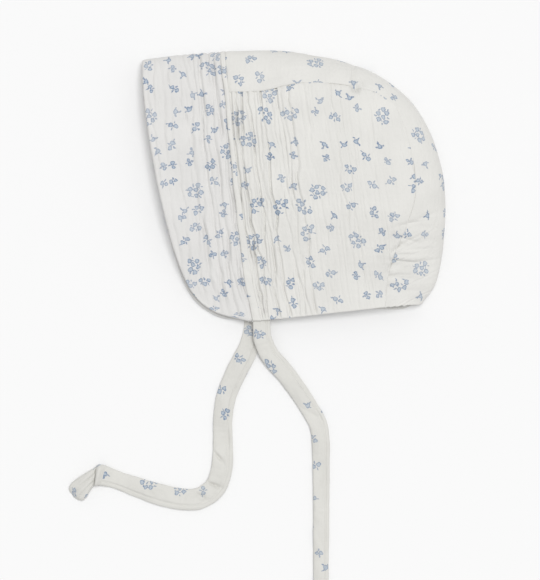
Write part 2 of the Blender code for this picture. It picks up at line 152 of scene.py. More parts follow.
# Dents: along, up, radius (share of BODY_LENGTH), depth (share of PANEL_WALL)
DENTS = (
    (0.704, 0.868, 0.028, 0.90),
    (0.830, 0.290, 0.030, 0.60),
    (0.870, 0.180, 0.034, 0.70),
)

# The ties' routes in metres from the foot of the brim seam, points given one by one.
# Columns: x, y, height of the middle above the surface
NEAR_TIE_ROUTE = (
    (0.0026, -0.0005, 0.0062), (0.0029, -0.0058, 0.0061), (0.0036, -0.0116, 0.0056),
    (0.0079, -0.0209, 0.0038), (0.0168, -0.0314, 0.0018), (0.0252, -0.0428, 0.0013),
    (0.0317, -0.0530, 0.0013), (0.0366, -0.0620, 0.0013), (0.0382, -0.0728, 0.0013),
    (0.0384, -0.0854, 0.0013), (0.0385, -0.1022, 0.0013), (0.0385, -0.1196, 0.0013),
    (0.0384, -0.1370, 0.0013), (0.0384, -0.1542, 0.0013), (0.0386, -0.1652, 0.0016),
)
FAR_TIE_ROUTE = (
    (-0.0024, -0.0006, 0.0013), (-0.0026, -0.0042, 0.0013), (-0.0042, -0.0132, 0.0013),
    (-0.0073, -0.0209, 0.0013), (-0.0127, -0.0314, 0.0013), (-0.0184, -0.0452, 0.0013),
    (-0.0205, -0.0590, 0.0014), (-0.0205, -0.0704, 0.0015), (-0.0205, -0.0818, 0.0015),
    (-0.0216, -0.0908, 0.0014), (-0.0254, -0.1001, 0.0014), (-0.0347, -0.1065, 0.0014),
    (-0.0463, -0.1068, 0.0013), (-0.0601, -0.1037, 0.0013), (-0.0739, -0.0990, 0.0013),
    (-0.0865, -0.0945, 0.0016), (-0.0924, -0.0927, 0.0020),
)
# Width along each tie. Columns: share of its length, share of TIE_WIDTH
NEAR_TIE_WIDTHS = (
    (0.0, 0.80), (0.10, 0.86), (0.20, 0.90), (0.32, 0.88), (0.42, 0.86), (0.55, 0.78), (0.92, 0.72),
    (1.0, 0.72),
)
FAR_TIE_WIDTHS = (
    (0.0, 0.80), (0.15, 0.98), (0.40, 0.90), (0.60, 1.00), (0.75, 1.02), (0.88, 0.93), (0.94, 0.83),
    (0.975, 0.90), (1.0, 0.98),
)
# Knot and tail on a tie's end, sections along its way on from the tie. Columns:
# reach (share of KNOT_LENGTH), sideways (same), turn of the section in degrees,
# width (share of TIE_WIDTH), wall (share of KNOT_HEIGHT)
KNOT_LENGTH = 0.0250
KNOT_HEIGHT = 0.0078
KNOT_SECTIONS = (
    (0.000, 0.000, 0.0, 0.98, 0.68),
    (0.055, 0.006, 0.0, 1.01, 0.84),
    (0.110, 0.020, 3.0, 1.03, 0.96),
    (0.160, 0.036, 6.0, 1.02, 0.88),
    (0.195, 0.080, 11.0, 0.92, 0.56),
    (0.240, 0.150, 18.0, 0.88, 0.66),
    (0.310, 0.265, 27.0, 0.92, 0.78),
    (0.390, 0.400, 38.0, 0.98, 0.76),
    (0.470, 0.530, 49.0, 0.98, 0.62),
    (0.515, 0.602, 57.0, 0.86, 0.50),
    (0.545, 0.648, 60.0, 0.66, 0.36),
    (0.562, 0.673, 60.0, 0.38, 0.20),
)

# Folds and pinches of the cloth seen from above: along, up, turn in degrees from the
# way along, half length, half width and depth in metres
PINCHES = (
    (0.417, 0.893, 20, 0.0100, 0.0060, 0.0008),
    (0.698, 0.895, 88, 0.0080, 0.0014, 0.0019),
    (0.722, 0.880, 120, 0.0040, 0.0010, 0.0012),
    (0.706, 0.858, 100, 0.0026, 0.0016, 0.0026),
    (0.849, 0.219, -5, 0.0080, 0.0011, 0.0011),
    (0.919, 0.219, 8, 0.0100, 0.0013, 0.0009),
    (0.882, 0.359, 10, 0.0080, 0.0012, 0.0010),
    (0.935, 0.385, 20, 0.0070, 0.0013, 0.0007),
    (0.869, 0.300, -15, 0.0080, 0.0012, 0.0009),
    (0.902, 0.263, 5, 0.0100, 0.0014, 0.0009),
    (0.833, 0.267, 45, 0.0040, 0.0009, 0.0011),
    (0.853, 0.170, 0, 0.0070, 0.0013, 0.0007),
    (0.813, 0.196, 60, 0.0060, 0.0009, 0.0009),
    (0.238, 0.920, 94, 0.0100, 0.0010, 0.0022),
    (0.247, 0.820, 96, 0.0090, 0.0010, 0.0020),
    (0.262, 0.720, 100, 0.0090, 0.0009, 0.0020),
    (0.284, 0.620, 98, 0.0090, 0.0008, 0.0018),
    (0.300, 0.470, 97, 0.0100, 0.0008, 0.0016),
)
# Folds across and along the ties: metres from the start, metres sideways, turn in
# degrees from the tie, half length, half width and depth in metres
NEAR_TIE_FOLDS = (
    (0.006, 0.0000, 0, 0.0060, 0.0006, -0.0003),
    (0.022, 0.0010, 35, 0.0060, 0.0012, 0.0004),
    (0.070, 0.0000, -30, 0.0070, 0.0014, 0.0008),
    (0.112, 0.0010, 25, 0.0080, 0.0012, 0.0007),
    (0.150, -0.0005, -20, 0.0060, 0.0012, 0.0007),
)
FAR_TIE_FOLDS = (
    (0.020, 0.0000, 4, 0.0110, 0.0040, 0.0006),
    (0.079, -0.0020, 10, 0.0080, 0.0030, 0.0017),
    (0.088, 0.0025, -42, 0.0044, 0.0009, 0.0024),
    (0.106, 0.0010, 78, 0.0050, 0.0011, 0.0024),
    (0.117, 0.0005, 60, 0.0040, 0.0016, 0.0022),
    (0.150, 0.0000, 20, 0.0080, 0.0012, 0.0006),
)
# Where a fold line runs along each tie, a share of its half width
FOLD_LINE = -0.55

# The printed sprigs, in millimetres about each sprig's middle. A stem joins each blossom to
# the next. Blossoms: x, y, radius. Leaves: x, y, turn in degrees, half length, half width
LARGE_SPRIGS = (
    (
        ((-4.1, 0.9, 1.10), (-1.8, 2.9, 1.20), (0.6, 0.6, 1.05), (3.4, 1.9, 1.20), (2.0, -2.4, 1.15),
         (-1.6, -2.0, 1.05)),
        ((-3.6, -1.3, -70, 0.9, 0.42), (1.2, 3.4, 65, 0.9, 0.42), (4.6, -0.4, -20, 0.8, 0.38),
         (-0.2, -3.9, -80, 0.9, 0.40), (-3.6, 3.7, 130, 0.8, 0.36)),
    ),
    (
        ((-4.0, -2.1, 1.20), (-3.1, 1.3, 1.10), (-0.2, 2.8, 1.20), (1.6, -0.2, 1.05), (4.2, 0.8, 1.15)),
        ((-1.2, -0.6, 150, 0.9, 0.42), (2.4, 3.0, 40, 0.9, 0.40), (2.6, -2.5, -60, 1.0, 0.42),
         (-1.9, -3.4, -20, 0.9, 0.36)),
    ),
)
MEDIUM_SPRIGS = (
    (
        ((-2.2, -0.8, 1.10), (-0.3, 1.7, 1.10), (2.3, 0.0, 1.05)),
        ((0.4, -1.5, -60, 1.0, 0.42), (2.0, 2.2, 50, 0.8, 0.36), (-2.5, 1.6, 130, 0.8, 0.34)),
    ),
    (
        ((-1.6, 1.0, 1.10), (1.2, -0.9, 1.15)),
        ((1.1, 1.5, 50, 0.9, 0.44), (-1.5, -1.5, -120, 0.9, 0.42), (3.0, -2.0, -35, 0.9, 0.32)),
    ),
)
SMALL_SPRIGS = (
    (
        ((0.2, -0.2, 1.20),),
        ((2.0, 1.0, 35, 1.0, 0.50), (-1.3, 1.6, 130, 1.0, 0.48), (-1.6, -1.2, 215, 0.7, 0.40)),
    ),
    (
        ((0.7, -0.8, 1.05), (-1.1, 1.0, 0.85)),
        ((1.3, 1.2, 50, 1.0, 0.48), (-1.3, -1.1, 220, 0.8, 0.42)),
    ),
)
STEM_HALF_WIDTH = 0.22

# Grid steps
CURVE_POINTS = 900
BRIM_ACROSS_STEPS = 116
BRIM_STEPS = 120
BAND_FRONT_STEPS = 190
BAND_NAPE_STEPS = 190
GATHERS_FROM = 0.76
BAND_ACROSS_STEPS = 40
PANEL_COLUMNS = 322
PANEL_ROWS = 118
FAR_PANEL_COLUMNS = 110
FAR_PANEL_ROWS = 90
TIE_STEPS = 400
KNOT_STEPS = 130
SECTION_SIDES = 64
# Powers under 1 fill a strap's oval section out towards a box
SECTION_POWERS = (0.72, 0.95)
# A wave texture's period at scale 1, in its own units
WAVE_PERIOD = 0.31

# The photo is 540 by 580 px at 0.6 mm to a pixel, and the body's middle is at (293.15, 186)
PIXEL = 0.0006
VIEW_HEIGHT = 580 * PIXEL
VIEW_MIDDLE = ((270 - 293.15) * PIXEL, (186 - 290) * PIXEL)
CAMERA_HEIGHT = 2.0


def linear(hex_colour):
    """Linear colour from an sRGB hex value."""
    parts = [int(hex_colour[place:place + 2], 16) / 255 for place in (1, 3, 5)]
    return tuple(c / 12.92 if c <= 0.04045 else ((c + 0.055) / 1.055) ** 2.4 for c in parts)


def smooth_rows(table, shares):
    """Values of a table's columns on a smooth curve through its rows."""
    rows = np.array(table, dtype=float)
    rows = np.vstack((2 * rows[0] - rows[1], rows, 2 * rows[-1] - rows[-2]))
    place = np.clip(np.atleast_1d(shares), 0.0, 1.0) * (len(table) - 1)
    index = np.minimum(place.astype(int), len(table) - 2)
    t = (place - index)[:, None]
    before, start, end, after = (rows[index + step] for step in range(4))
    return 0.5 * (
        2 * start + (end - before) * t + (2 * before - 5 * start + 4 * end - after) * t ** 2
        + (3 * start - before - 3 * end + after) * t ** 3
    )


def straight_rows(table, shares):
    """Values of a table's second column on straight lines between its rows."""
    columns = np.array(table).T
    return np.interp(shares, columns[0], columns[1])


def ease(value, low, high):
    """Smooth step from 0 at low to 1 at high."""
    t = np.clip((value - low) / (high - low), 0.0, 1.0)
    return t * t * (3 - 2 * t)


def mix(start, end, share):
    """Value a share of the way from start to end."""
    return start + (end - start) * share


def bump(distance, half_width):
    """Round bump of height 1 that fades out at about twice the half width."""
    return np.exp(-((distance / half_width) ** 2))


def soft_noise(x, y, seed):
    """Smooth noise from -1 to 1 with one lump for each unit of x and y."""
    lattice = np.random.default_rng(seed).uniform(-1, 1, (32, 32))
    x, y = np.broadcast_arrays(x, y)
    column, row = np.floor(x).astype(int), np.floor(y).astype(int)
    u, v = ease(x - column, 0, 1), ease(y - row, 0, 1)
    corners = [lattice[(row + j) % 32, (column + i) % 32] for j in (0, 1) for i in (0, 1)]
    return mix(mix(corners[0], corners[1], u), mix(corners[2], corners[3], u), v)


def plan_place(shares):
    """Metres in plan from along and up shares, about the middle of the body."""
    return (np.asarray(shares) - 0.5) * (BODY_LENGTH, BODY_HEIGHT)


def half_welt(y):
    """Half the welt's width at a height up it."""
    up = y / BODY_HEIGHT + 0.5
    return mix(WELT_FOOT, WELT_WIDTH, ease(up, 0.0, WELT_SPREADS_TO)) / 2


def brim_seam(rows):
    """Places along the brim seam, which strays a little from its line."""
    seam = plan_place(rows[:, 2:])
    seam[:, 0] += SEAM_WANDER * soft_noise(seam[:, 1] / 0.011 + 9.0, 0.5, 71)
    return seam


def band_edges(places):
    """The band's fold and its seam, which strays a little from its line, at places along it."""
    rows = smooth_rows(BAND_SECTIONS, places)
    fold, seam = plan_place(rows[:, :2]), plan_place(rows[:, 2:])
    inward = seam - fold
    inward /= np.linalg.norm(inward, axis=1)[:, None]
    wander = SEAM_WANDER * soft_noise(places * 17, 0.5, 72) * ease(places, 0.0, 0.03)
    return fold, seam + inward * wander[:, None]


CURVE_SHARES = np.linspace(0, 1, CURVE_POINTS)
BRIM_SEAM = brim_seam(smooth_rows(BRIM_SECTIONS, CURVE_SHARES))
BAND_FOLD, BAND_SEAM = band_edges(CURVE_SHARES)
FOLD = np.vstack((plan_place(smooth_rows(BRIM_TOP, CURVE_SHARES)), BAND_FOLD))
TOP_FOLD = FOLD[:CURVE_POINTS * 3 // 2]
NECK = plan_place(smooth_rows(NECK_EDGE, CURVE_SHARES))
TIE_EXIT = plan_place(BRIM_SECTIONS[-1][2:])
BACK_OF_SEAM = BAND_SEAM[:, 0].argmax()


def seam_x(y):
    """Place of the brim seam along the bonnet at a height up it."""
    return np.interp(y, BRIM_SEAM[::-1, 1], BRIM_SEAM[::-1, 0])


def curve_distance(plan, curve):
    """Distance in plan from each point to a curve."""
    knots = np.vstack((curve[:-1:6], curve[-1:]))
    start = knots[:-1]
    step = knots[1:] - start
    size = np.maximum((step ** 2).sum(axis=1), 1e-18)
    flat = plan.reshape(-1, 2)
    nearest = np.empty(len(flat))
    for first in range(0, len(flat), 2000):
        part = flat[first:first + 2000, None]
        share = np.clip(((part - start) * step).sum(axis=2) / size, 0, 1)
        gap = start + step * share[..., None] - part
        nearest[first:first + 2000] = np.sqrt((gap ** 2).sum(axis=2).min(axis=1))
    return nearest.reshape(plan.shape[:-1])


def quarter_round(share):
    """Rise of a round edge, 0 at its rim and 1 where it is flat."""
    return np.sqrt(1 - (1 - np.clip(share, 0, 1)) ** 2)


def skin(plan, near):
    """Points of the bonnet's outer skin above or below places in plan."""
    shape = plan.shape[:-1]
    flat = plan.reshape(-1, 2)
    distance = curve_distance(flat, FOLD)
    if near:
        along = flat[:, 0] / BODY_LENGTH + 0.5
        up = flat[:, 1] / BODY_HEIGHT + 0.5
        front = mix(TIE_RISE, FACE_RISE, ease(up, 0.0, 0.45))
        back = mix(NECK_RISE, CROWN_RISE, ease(up, 0.0, 0.55))
        top = mix(front, back, ease(along, 0.15, 0.68))
        height = FOLD_HEIGHT + (top - FOLD_HEIGHT) * quarter_round(distance / OVER_ROLL)
        for dent_along, dent_up, radius, depth in DENTS:
            offset = flat - plan_place((dent_along, dent_up))
            reach = np.hypot(offset[:, 0], offset[:, 1])
            height -= depth * PANEL_WALL * bump(reach, radius * BODY_LENGTH)
    else:
        height = FOLD_HEIGHT * (1 - quarter_round(distance / UNDER_ROLL))
    return np.column_stack((flat, height)).reshape(*shape, 3)


def grid_normals(points):
    """Unit normals of a grid of points, out of its outer face."""
    normals = np.cross(np.gradient(points, axis=1), np.gradient(points, axis=0))
    return normals / np.maximum(np.linalg.norm(normals, axis=2), 1e-12)[..., None]


def relief(points, height):
    """The grid with each point moved out along its normal, and none below the surface."""
    moved = points + grid_normals(points) * height[..., None]
    moved[..., 2] = np.maximum(moved[..., 2], 0.0)
    return moved


def above_surface(points):
    """0 where the skin lies on the surface, and 1 from the height of the fold up."""
    return ease(points[..., 2], 0.0, FOLD_HEIGHT)


def past_fold(points):
    """How much of the crinkle shows: less on the fold itself, where the cloth is drawn tight."""
    return mix(0.4, 1.0, ease(points[..., 2], FOLD_HEIGHT, FOLD_HEIGHT + 0.006))


def run_lengths(points, axis):
    """Length along a grid's lines from their first point."""
    steps = np.linalg.norm(np.diff(points, axis=axis), axis=2)
    start = np.zeros_like(np.take(steps, [0], axis=axis))
    return np.concatenate((start, steps.cumsum(axis=axis)), axis=axis)


def edge_runs(points):
    """Distance of each point from the grid's first row, last row, first column and last column."""
    down, across = run_lengths(points, 0), run_lengths(points, 1)
    return down, down[-1:] - down, across, across[:, -1:] - across


def edged(shares, length, wall):
    """Shares along a run with more of them close to both ends, for a round edge."""
    close = np.array((0.02, 0.08, 0.2, 0.4, 0.65)) * wall / length
    return np.concatenate(((0.0,), close, shares[(shares > close[-1] * 1.4) & (shares < 1 - close[-1] * 1.4)],
                           1 - close[::-1], (1.0,)))


def creases(across, along, last, pitch, seed):
    """Narrow wavy creases that run along the cloth, 0 between them and -1 in the deepest."""
    chance = np.random.default_rng(seed)
    height = np.zeros(np.broadcast(across, along).shape)
    place = pitch * 0.4
    number = 0
    while place < last:
        number += 1
        depth = chance.uniform(0.2, 1.0)
        sharp = pitch * chance.uniform(0.12, 0.22)
        stray = soft_noise(along / 0.016, number * 3.7, seed + 1)
        stray = stray + 0.45 * soft_noise(along / 0.0055, number * 5.3, seed + 2)
        strength = np.clip(0.6 + 0.6 * soft_noise(along / 0.018, number * 2.9, seed + 3), 0, 1)
        offset = np.abs(across - place - 0.42 * pitch * stray)
        shoulder = 0.3 * bump(offset - 2.2 * sharp, 1.4 * sharp)
        height = height + depth * strength * (shoulder - np.exp(-offset / sharp))
        place += pitch * chance.uniform(0.5, 1.6)
    return height


def folds(points, table):
    """Depth of a table's folds at points: middle, turn, half length, half width and depth."""
    depth = np.zeros(points.shape[:-1])
    for x, y, turn, half_length, half_width, deepest in table:
        offset = points - (x, y)
        angle = math.radians(turn)
        onward = offset[..., 0] * math.cos(angle) + offset[..., 1] * math.sin(angle)
        beside = offset[..., 1] * math.cos(angle) - offset[..., 0] * math.sin(angle)
        depth += deepest * bump(onward, half_length) * np.exp(-np.abs(beside / half_width) ** 1.4)
    return depth


def pinches(points):
    """Depth of the small folds and pinches at points of the near layer."""
    places = [(*plan_place(row[:2]), *row[2:]) for row in PINCHES]
    return folds(points[..., :2], places) * ease(points[..., 2], 0.5 * FOLD_HEIGHT, 1.3 * FOLD_HEIGHT)


def sewn_edge(run, depth):
    """How far a piece dips beside the seam that its edge, run metres away, is sewn into."""
    beside = np.maximum(run - PANEL_LAP, 0)
    under = np.clip(1 - run / PANEL_LAP, 0, 1)
    return -depth * np.exp(-beside / SEAM_DIP_REACH) - LAP_DIP * under ** 2


def down_places():
    """Shares of the way down the brim from the fold to the ties, close together at its foot."""
    return np.sin(np.linspace(0, math.pi / 2, BRIM_STEPS + 1)) ** 1.5


def brim_plan(across, down, near):
    """Plan places on the brim, across from the face edge and down from the fold."""
    rows = smooth_rows(BRIM_SECTIONS, down)
    edge = plan_place(rows[:, :2])
    seam = brim_seam(rows)
    seam[:, 0] -= half_welt(seam[:, 1]) - PANEL_LAP
    if not near:
        turn = np.gradient(edge, axis=0)
        turn /= np.linalg.norm(turn, axis=1)[:, None]
        peek = FAR_PEEK * ease(down, 0.3, 0.8) * (1 - ease(down, 0.9, 1.0))
        edge = edge + np.column_stack((turn[:, 1], -turn[:, 0])) * peek[:, None]
    plan = edge[:, None] + (seam - edge)[:, None] * across[None, :, None]
    bow = np.interp(plan[0, :, 0], *TOP_FOLD.T) - plan[0, :, 1]
    plan[..., 1] += bow * (1 - ease(down, 0.0, 0.3))[:, None]
    return plan


def panel_reach():
    """The band seam beside a panel, and how far along the ridges each point of it lies."""
    turn = np.gradient(BAND_SEAM, axis=0)
    turn /= np.linalg.norm(turn, axis=1)[:, None]
    seam = BAND_SEAM - np.column_stack((turn[:, 1], -turn[:, 0])) * PANEL_LAP
    middle = seam[:, 1].mean()
    start = seam_x(middle) + half_welt(middle) - PANEL_LAP
    reach = seam[:, 0] + RIDGE_LEAN * (seam[:, 1] - middle) - start
    return seam, middle, reach


def crossing(curve, offsets):
    """First place where a curve's signed offsets turn from below 0 to above it."""
    above = np.flatnonzero(offsets >= 0)
    if not len(above) or above[0] == 0:
        return curve[0 if len(above) else -1]
    last = above[0]
    share = offsets[last - 1] / (offsets[last - 1] - offsets[last])
    return mix(curve[last - 1], curve[last], share)


def panel_plan(columns, rows):
    """Plan places on a side panel, along its ridges from the neck to the crown band."""
    seam, middle, reach = panel_reach()
    widest = reach.argmax()
    top = seam[:widest + 1]
    bottom = np.vstack((NECK[NECK[:, 0] < seam[-1, 0]], seam[:widest - 1:-1]))

    def ridge(y, column):
        leaning = seam_x(middle) + half_welt(middle) - RIDGE_LEAN * (y - middle)
        line = mix(seam_x(y) + half_welt(y), leaning, ease(column, 0.0, RIDGE_LEAN_FROM))
        return line - PANEL_LAP + column * reach[widest]

    plan = []
    for column in columns:
        high = crossing(top, top[:, 0] - ridge(top[:, 1], column))
        low = crossing(bottom, bottom[:, 0] - ridge(bottom[:, 1], column))
        y = mix(low[1], high[1], rows)
        plan.append(np.column_stack((ridge(y, column), y)))
    return np.array(plan).transpose(1, 0, 2), reach[widest]


def seam_valley(places):
    """Depth of the valley along the band's seam: plain at the top, faint round the back."""
    faint = mix(1.0, 0.15, ease(places, 0.30, 0.36))
    depth = np.maximum(faint, 0.9 * ease(places, GATHERS_FROM, 0.84))
    return 0.00035 * depth * (1 + 0.5 * soft_noise(places * 22, 0.5, 73))


def nape_wave(x):
    """How far up the neck edge goes at the nape, where it waves."""
    return 0.0007 * ease(x, 0.045, 0.06) * soft_noise(x / 0.0055, 0.5, 61)


def nape_peek(x):
    """How far the far layer shows below the near one at the nape."""
    return NAPE_PEEK * bump(x - NAPE_MIDDLE, NAPE_HALF_WIDTH)


def cloth_grid(points, flat_places):
    """A grid mesh through the points, all of it printed, with their places on the flat cloth,
    and each vertex's row and column."""
    rows, columns = points.shape[:2]
    mesh = bmesh.new()
    bmesh.ops.create_grid(mesh, x_segments=columns - 1, y_segments=rows - 1, size=1.0)
    printed = mesh.verts.layers.float.new("printed")
    places = {}
    for vertex in mesh.verts:
        column = round((vertex.co.x + 1) / 2 * (columns - 1))
        row = round((vertex.co.y + 1) / 2 * (rows - 1))
        places[vertex] = (row, column)
        vertex.co = points[row, column]
        vertex[printed] = 1.0
    layer = mesh.loops.layers.uv.new("cloth")
    for face in mesh.faces:
        for loop in face.loops:
            loop[layer].uv = flat_places[places[loop.vert]]
    return mesh, places


def add_cloth(name, points, flat_places, edge, wall, material):
    """A closed piece of cloth, its outer skin at the given points and its edges round.
    flat_places are where each point lay on the flat cloth and edge is how far from the
    piece's edge it is, in metres."""
    normals = grid_normals(points)
    half = (wall / 2 * quarter_round(edge / (wall / 2)))[..., None]
    middle = points - normals * wall / 2
    mesh, places = cloth_grid(middle + normals * half, flat_places)
    printed = mesh.verts.layers.float["printed"]
    copy = bmesh.ops.duplicate(mesh, geom=mesh.verts[:] + mesh.edges[:] + mesh.faces[:])
    inner = [part for part in copy["geom"] if isinstance(part, bmesh.types.BMFace)]
    for vertex, place in places.items():
        twin = copy["vert_map"][vertex]
        twin.co = middle[place] - normals[place] * half[place]
        twin[printed] = 0.0
    bmesh.ops.reverse_faces(mesh, faces=inner)
    rims = [vertex for vertex in mesh.verts if vertex.is_boundary]
    bmesh.ops.remove_doubles(mesh, verts=rims, dist=1e-7)
    return add_object(name, mesh, material)


def add_object(name, mesh, material):
    """An object of the mesh, no part of it below the surface that the bonnet lies on."""
    for vertex in mesh.verts:
        vertex.co.z = max(vertex.co.z, 0.0)
    data = bpy.data.meshes.new(name)
    mesh.to_mesh(data)
    mesh.free()
    data.materials.append(material)
    data.shade_smooth()
    thing = bpy.data.objects.new(name, data)
    bpy.context.collection.objects.link(thing)
    return thing


def way_lengths(middles):
    """Length along a way up to each of its points."""
    return np.concatenate(((0,), np.linalg.norm(np.diff(middles, axis=0), axis=1).cumsum()))


def sections(widths, walls):
    """Flat oval sections, sideways and up from their middles."""
    angle = np.linspace(0, 2 * math.pi, SECTION_SIDES + 1)
    sideways = np.sign(np.cos(angle)) * np.abs(np.cos(angle)) ** SECTION_POWERS[0]
    up = np.sign(np.sin(angle)) * np.abs(np.sin(angle)) ** SECTION_POWERS[1]
    return sideways * widths[:, None] / 2, up * walls[:, None] / 2


def add_strap(name, middles, sides, widths, walls, dents, material, cut_from):
    """A flat tube of cloth along a way, its level sections along sides.
    dents(along, sideways), both in metres, is how far in its upper face goes.
    cut_from is how far along the cloth the tube was cut, in metres."""
    sideways, up = sections(widths, walls)
    along = way_lengths(middles)[:, None] + 0.0 * sideways
    points = middles[:, None] + sideways[..., None] * sides[:, None] + up[..., None] * (0, 0, 1)
    points[..., 2] -= dents(along, sideways) * np.clip(up / walls[:, None] * 2, 0, 1)
    round_run = np.zeros_like(sideways)
    round_run[:, 1:] = np.hypot(np.diff(sideways), np.diff(up)).cumsum(axis=1)
    mesh, _ = cloth_grid(points, np.dstack((round_run, cut_from + along)))
    bmesh.ops.remove_doubles(mesh, verts=[vertex for vertex in mesh.verts if vertex.is_boundary], dist=1e-7)
    bmesh.ops.holes_fill(mesh, edges=[edge for edge in mesh.edges if edge.is_boundary], sides=0)
    bmesh.ops.recalc_face_normals(mesh, faces=mesh.faces)
    return add_object(name, mesh, material)


def dress(thing, node):
    """The piece stands for its solid and moves with the bonnet's one body."""
    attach(thing, BODY)
    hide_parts(node)
    return thing


def add(tree, kind, inputs, **settings):
    """Outputs of a new node with its settings, its values and the links into it. inputs is a
    tuple from the first socket on, or a dict of sockets."""
    node = tree.nodes.new("ShaderNode" + kind)
    for key, value in settings.items():
        setattr(node, key, value)
    for socket, value in inputs.items() if isinstance(inputs, dict) else enumerate(inputs):
        if isinstance(value, bpy.types.NodeSocket):
            tree.links.new(value, node.inputs[socket])
        else:
            node.inputs[socket].default_value = value
    return node.outputs


def new_group(name, inputs, outputs):
    """An empty shader group with its sockets, and its input and output nodes."""
    group = bpy.data.node_groups.new(name, "ShaderNodeTree")
    for socket, kind in inputs:
        group.interface.new_socket(socket, in_out="INPUT", socket_type="NodeSocket" + kind)
    for socket in outputs:
        group.interface.new_socket(socket, in_out="OUTPUT", socket_type="NodeSocketFloat")
    source = group.nodes.new("NodeGroupInput").outputs
    sink = group.nodes.new("NodeGroupOutput").inputs
    return group, source, sink


def blossom_group():
    """A blossom of three petals drawn as an outline, and its pale inside."""
    group, source, sink = new_group(
        "blossom", (("Point", "Vector"), ("Centre", "Vector"), ("Radius", "Float")), ("Line", "Wash"))
    offset = add(group, "VectorMath", (source[0], source[1]), operation="SUBTRACT")[0]
    length = add(group, "VectorMath", {0: offset}, operation="LENGTH")["Value"]
    parts = add(group, "SeparateXYZ", {0: offset})
    angle = add(group, "Math", (parts[1], parts[0]), operation="ARCTAN2")[0]
    petals = add(group, "Math", (angle, 3.0), operation="MULTIPLY")[0]
    wave = add(group, "Math", {0: petals}, operation="COSINE")[0]
    rim = add(group, "Math", (wave, 0.11, 1.0), operation="MULTIPLY_ADD")[0]
    rim = add(group, "Math", (rim, source[2]), operation="MULTIPLY")[0]
    gap = add(group, "Math", (length, rim), operation="SUBTRACT")[0]
    beside = add(group, "Math", {0: gap}, operation="ABSOLUTE")[0]
    line = add(group, "MapRange", (beside, 0.38, 0.12, 0.0, 1.0))[0]
    wash = add(group, "MapRange", (gap, 0.1, -0.1, 0.0, 1.0))[0]
    group.links.new(line, sink[0])
    group.links.new(wash, sink[1])
    return group


def leaf_group():
    """A leaf or a stem: a turned oval."""
    group, source, sink = new_group(
        "leaf", (("Point", "Vector"), ("Centre", "Vector"), ("Turn", "Float"), ("Size", "Vector")), ("Line",))
    offset = add(group, "VectorMath", (source[0], source[1]), operation="SUBTRACT")[0]
    turned = add(group, "VectorRotate", {"Vector": offset, "Angle": source[2]},
                 rotation_type="Z_AXIS")[0]
    scaled = add(group, "VectorMath", (turned, source[3]), operation="DIVIDE")[0]
    length = add(group, "VectorMath", {0: scaled}, operation="LENGTH")["Value"]
    line = add(group, "MapRange", (length, 1.25, 0.75, 0.0, 1.0))[0]
    group.links.new(line, sink[0])
    return group


def join(tree, values):
    """The largest of several values."""
    found = values[0]
    for value in values[1:]:
        found = add(tree, "Math", (found, value), operation="MAXIMUM")[0]
    return found


def stems(blossoms):
    """The stem from each blossom to the next, as leaves are given."""
    found = []
    for (x, y, radius), (next_x, next_y, next_radius) in zip(blossoms, blossoms[1:]):
        gap = math.dist((x, y), (next_x, next_y)) - radius - next_radius
        turn = math.degrees(math.atan2(next_y - y, next_x - x))
        found.append(((x + next_x) / 2, (y + next_y) / 2, turn, gap / 2 + 0.35, STEM_HALF_WIDTH))
    return found


def sprig(tree, groups, point, blossoms, leaves):
    """Line and wash of one sprig about the origin of point, in millimetres."""
    lines, washes = [], []
    for x, y, radius in blossoms:
        blossom = add(tree, "Group", (point, (x, y, 0), radius), node_tree=groups[0])
        lines.append(blossom[0])
        washes.append(blossom[1])
    for x, y, turn, half_length, half_width in (*leaves, *stems(blossoms)):
        inputs = (point, (x, y, 0), -math.radians(turn), (half_length, half_width, 1))
        lines.append(add(tree, "Group", inputs, node_tree=groups[1])[0])
    return join(tree, lines), join(tree, washes)


def choose(tree, pick, lows, highs):
    """The second of two pairs of line and wash where pick is 1."""
    return [add(tree, "Mix", {0: pick, 2: low, 3: high}, data_type="FLOAT")[0]
            for low, high in zip(lows, highs)]


def print_masks(tree, place, settings, spread):
    """Line and wash of the sprig print at a place on the cloth in millimetres. Each sprig
    stands in its own cell, turned and faded by chance, and the roomy cells hold the large ones.
    spread is how far apart they stand, a share of the usual spacing."""
    groups = (blossom_group(), leaf_group())
    layout = {"Vector": place, "Scale": 1 / (spread * settings.sprig_spacing), "Randomness": 0.75}
    cell = add(tree, "TexVoronoi", layout, voronoi_dimensions="2D", feature="F1")
    clear = add(tree, "TexVoronoi", layout, voronoi_dimensions="2D", feature="N_SPHERE_RADIUS")
    room = add(tree, "Math", (clear["Radius"], settings.sprig_spacing), operation="MULTIPLY")[0]
    offset = add(tree, "VectorMath", (place, cell["Position"]), operation="SUBTRACT")[0]
    chance = add(tree, "SeparateColor", {0: cell["Color"]})
    angle = add(tree, "Math", (chance[0], math.tau * 3), operation="MULTIPLY")[0]
    point = add(tree, "VectorRotate", {"Vector": offset, "Angle": angle}, rotation_type="Z_AXIS")[0]
    second = add(tree, "Math", (chance[1], 0.5), operation="GREATER_THAN")[0]
    found = None
    rooms = (0.0, settings.medium_room, settings.large_room)
    for kinds, needed in zip((SMALL_SPRIGS, MEDIUM_SPRIGS, LARGE_SPRIGS), rooms):
        drawn = choose(tree, second, *(sprig(tree, groups, point, *kind) for kind in kinds))
        fits = add(tree, "Math", (room, needed), operation="GREATER_THAN")[0]
        found = choose(tree, fits, found, drawn) if found else drawn
    strength = add(tree, "MapRange", (chance[2], 0.0, 1.0, 0.68, 1.0))[0]
    return [add(tree, "Math", (mask, strength), operation="MULTIPLY")[0] for mask in found]


